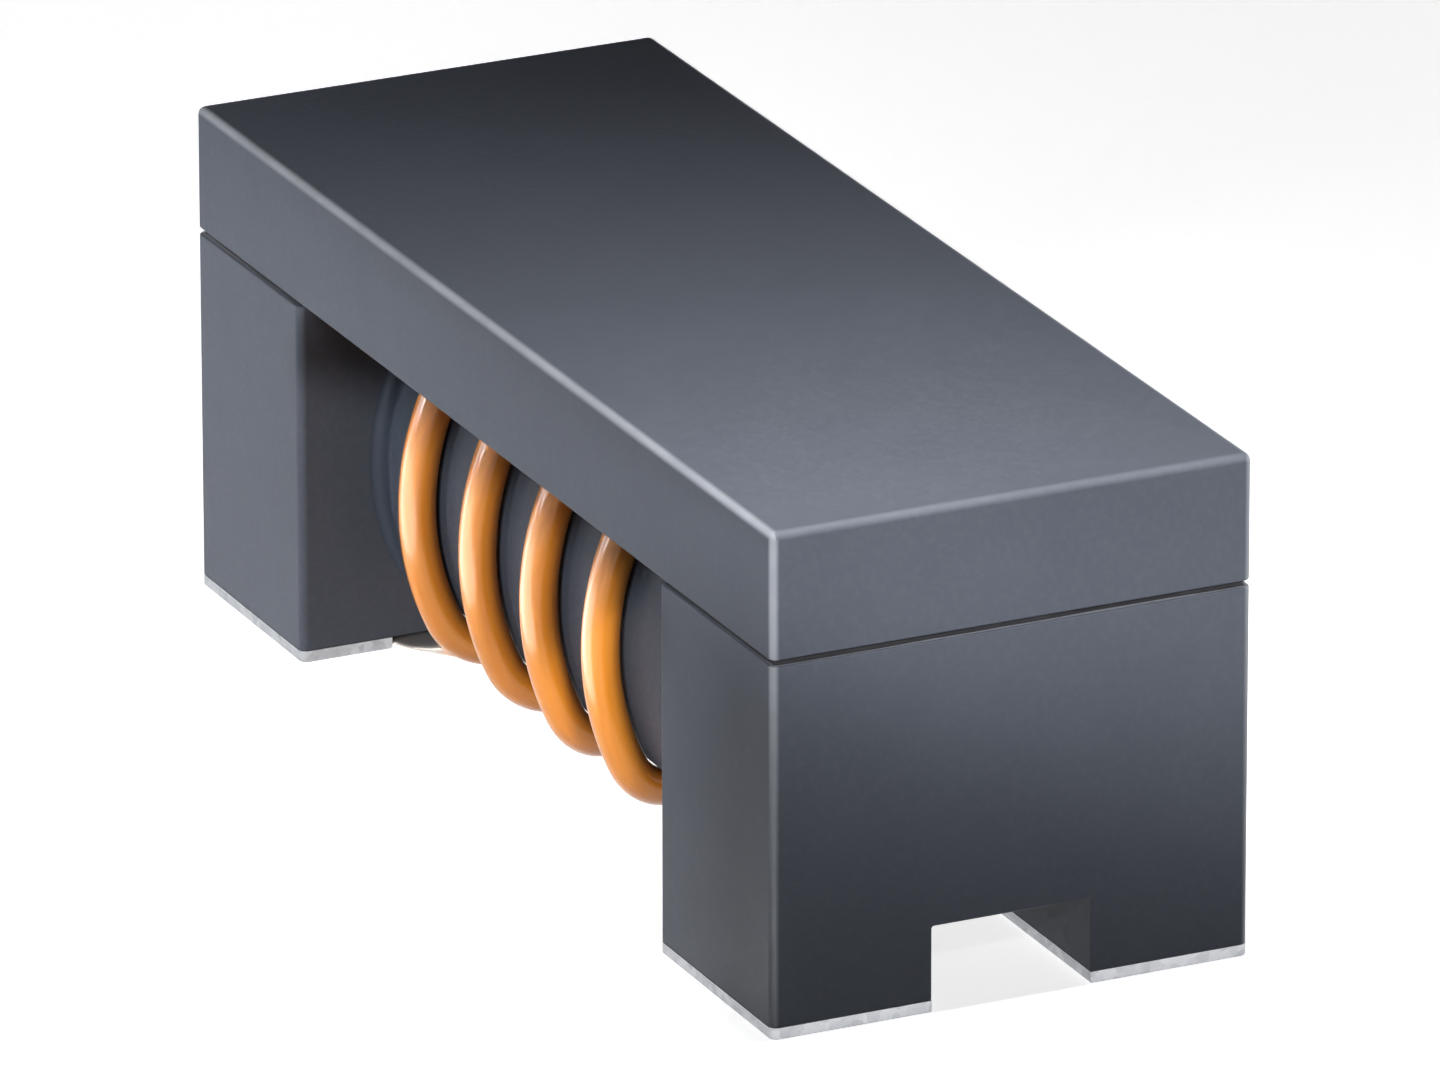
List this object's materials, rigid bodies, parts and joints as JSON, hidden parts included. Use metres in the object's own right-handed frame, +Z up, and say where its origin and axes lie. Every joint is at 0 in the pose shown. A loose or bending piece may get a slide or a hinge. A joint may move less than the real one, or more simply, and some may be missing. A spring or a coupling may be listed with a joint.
{
  "type": "smd common mode choke",
  "caption": "Surface-mount common mode choke with a ferrite drum core on tinned feet, paired enamelled wire windings and a flat bonded ferrite cover plate.",
  "frame": {"origin": "centre of the board face: the undersides of the terminals lie on Z = 0", "axes": "+X along the part's length, +Y across it, +Z up from the board to the cover plate"},
  "size_m": [0.0032, 0.0012, 0.0012],
  "materials": {
    "ferrite": "satin",
    "adhesive": "matt",
    "enamelled_wire": "gloss",
    "tin": "satin"
  },
  "bodies": {
    "root": {"drum_core": "ferrite", "cover_plate": "ferrite", "cover_bond_1": "adhesive", "cover_bond_2": "adhesive", "winding_1": "enamelled_wire", "winding_2": "enamelled_wire", "terminal_1": "tin", "terminal_2": "tin", "terminal_3": "tin", "terminal_4": "tin"}
  },
  "joints": []
}
